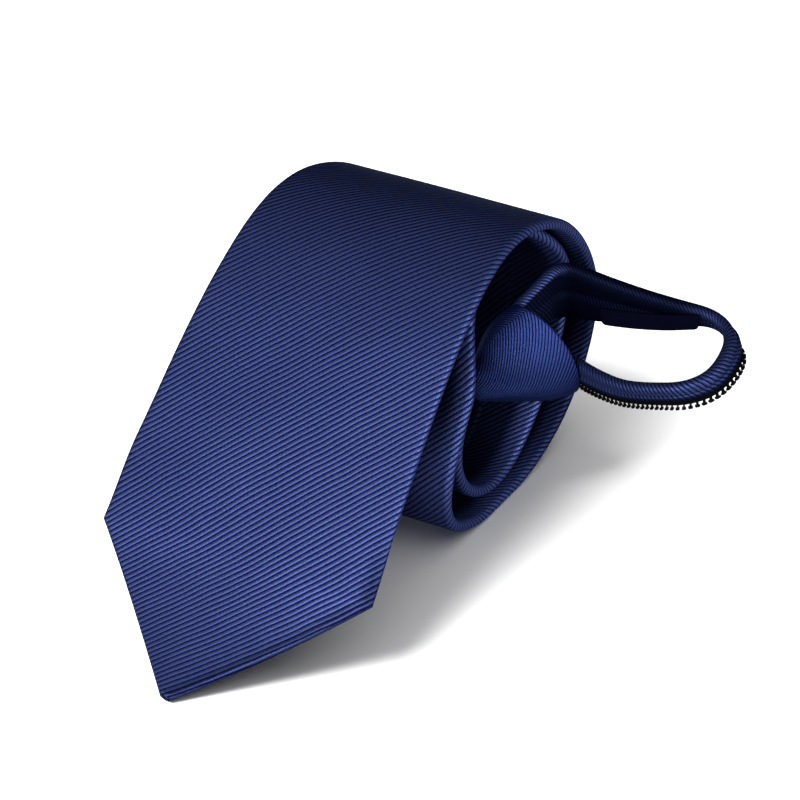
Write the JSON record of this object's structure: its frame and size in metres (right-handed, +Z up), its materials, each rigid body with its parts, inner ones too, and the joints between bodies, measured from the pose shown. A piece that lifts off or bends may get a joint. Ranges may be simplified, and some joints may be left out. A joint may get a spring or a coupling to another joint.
{
  "type": "zipper tie",
  "caption": "Ready-knotted necktie of ribbed navy cloth, its blade rolled up from the knot, with a zipped neck loop standing out of one side.",
  "frame": {"origin": "on the table, under the middle of the whole rolled tie", "axes": "+Z up, +Y from the blade's point towards the roll, +X to the right across the blade, where the neck loop stands out"},
  "size_m": [0.1288, 0.1722, 0.0837],
  "materials": {
    "blade": "diagonally ribbed navy weave with a soft sheen",
    "knot": "diagonally ribbed navy weave with a soft sheen",
    "neck_strap": "diagonally ribbed navy weave",
    "zipper_tape": "plain black woven tape",
    "zipper_teeth": "black moulded plastic",
    "back_tab": "smooth navy facing"
  },
  "bodies": {
    "root": {"blade": "blade", "knot": "knot", "neck_strap": "neck_strap", "zipper_tape": "zipper_tape", "zipper_teeth": "zipper_teeth", "back_tab": "back_tab"}
  },
  "joints": []
}
